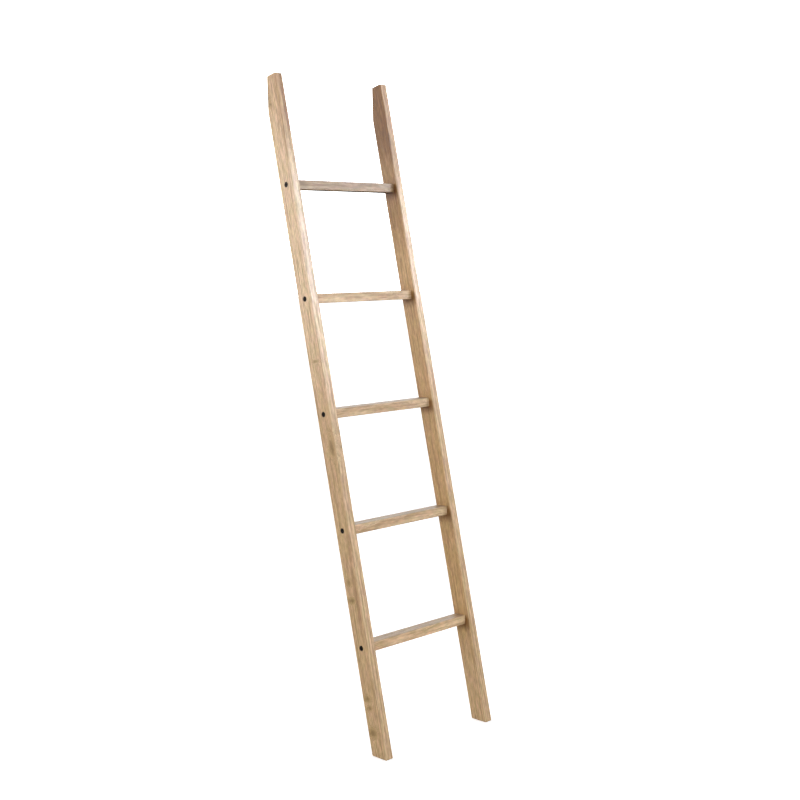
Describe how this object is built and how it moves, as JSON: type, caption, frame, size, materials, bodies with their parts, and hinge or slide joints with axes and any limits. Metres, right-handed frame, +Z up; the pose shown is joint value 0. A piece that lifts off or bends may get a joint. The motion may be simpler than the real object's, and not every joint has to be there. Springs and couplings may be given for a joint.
{
  "type": "leaning blanket ladder",
  "caption": "Wooden ladder rack with two rails and flat level rungs, leaning at a slight angle to hold quilts or towels against a wall.",
  "frame": {"origin": "on the floor, under the middle of the ladder's outer box", "axes": "+X across the ladder, +Y towards the wall that it leans on, +Z up; the ladder stands in its leaning position"},
  "size_m": [0.434, 0.427, 1.9223],
  "materials": {
    "rail_wood": "light natural hardwood, clear matt finish, grain along the rail",
    "rung_wood": "light natural hardwood, clear matt finish, grain along the rung",
    "black_bolt": "black oxide steel, satin",
    "zinc_insert": "zinc-plated steel",
    "dowel_wood": "bare beech"
  },
  "bodies": {
    "root": {"left_rail": "rail_wood", "right_rail": "rail_wood", "rung_1": "rung_wood", "rung_2": "rung_wood", "rung_3": "rung_wood", "rung_4": "rung_wood", "rung_5": "rung_wood", "left_bolt_1": "black_bolt", "left_insert_1": "zinc_insert", "left_dowel_1": "dowel_wood", "left_bolt_2": "black_bolt", "left_insert_2": "zinc_insert", "left_dowel_2": "dowel_wood", "left_bolt_3": "black_bolt", "left_insert_3": "zinc_insert", "left_dowel_3": "dowel_wood", "left_bolt_4": "black_bolt", "left_insert_4": "zinc_insert", "left_dowel_4": "dowel_wood", "left_bolt_5": "black_bolt", "left_insert_5": "zinc_insert", "left_dowel_5": "dowel_wood", "right_bolt_1": "black_bolt", "right_insert_1": "zinc_insert", "right_dowel_1": "dowel_wood", "right_bolt_2": "black_bolt", "right_insert_2": "zinc_insert", "right_dowel_2": "dowel_wood", "right_bolt_3": "black_bolt", "right_insert_3": "zinc_insert", "right_dowel_3": "dowel_wood", "right_bolt_4": "black_bolt", "right_insert_4": "zinc_insert", "right_dowel_4": "dowel_wood", "right_bolt_5": "black_bolt", "right_insert_5": "zinc_insert", "right_dowel_5": "dowel_wood"}
  },
  "joints": []
}
